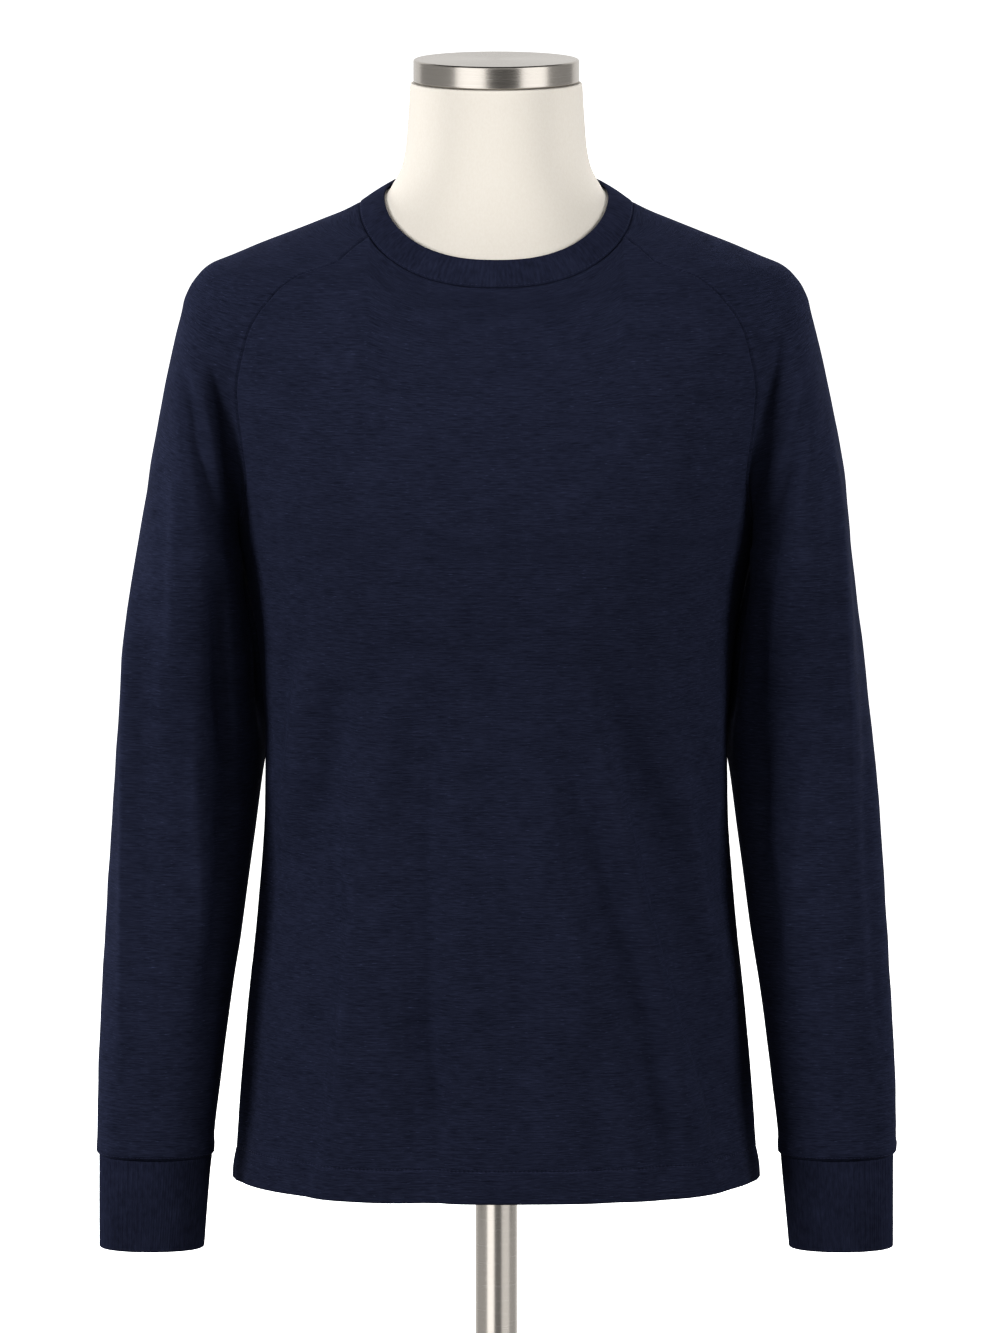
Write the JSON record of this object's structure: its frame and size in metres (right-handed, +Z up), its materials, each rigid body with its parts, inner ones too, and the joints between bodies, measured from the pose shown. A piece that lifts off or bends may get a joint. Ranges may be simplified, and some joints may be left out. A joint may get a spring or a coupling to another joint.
{
  "type": "crew neck sweater on a limbless dress form with stand",
  "caption": "Fine-knit crew neck pullover with raglan long sleeves and ribbed cuffs, worn by a headless, armless dress form on a pole and round plate.",
  "frame": {"origin": "on the floor, under the middle of the base plate", "axes": "+Z up, the front of the sweater faces -Y, +X is on the right of someone facing the front"},
  "size_m": [0.543, 0.3, 1.0999],
  "materials": {
    "navy_knit": "fine heathered jersey knit with a soft nap",
    "navy_rib": "fine vertical rib knit",
    "form_cover": "smooth matt off-white jersey cover",
    "brushed_steel": "brushed round the axis"
  },
  "bodies": {
    "root": {"front": "navy_knit", "back": "navy_knit", "sleeve_right": "navy_knit", "sleeve_left": "navy_knit", "collar": "navy_rib", "cuff_right": "navy_rib", "cuff_left": "navy_rib", "form_torso": "form_cover", "neck_cap": "brushed_steel", "pole": "brushed_steel", "base_plate": "brushed_steel"}
  },
  "joints": []
}
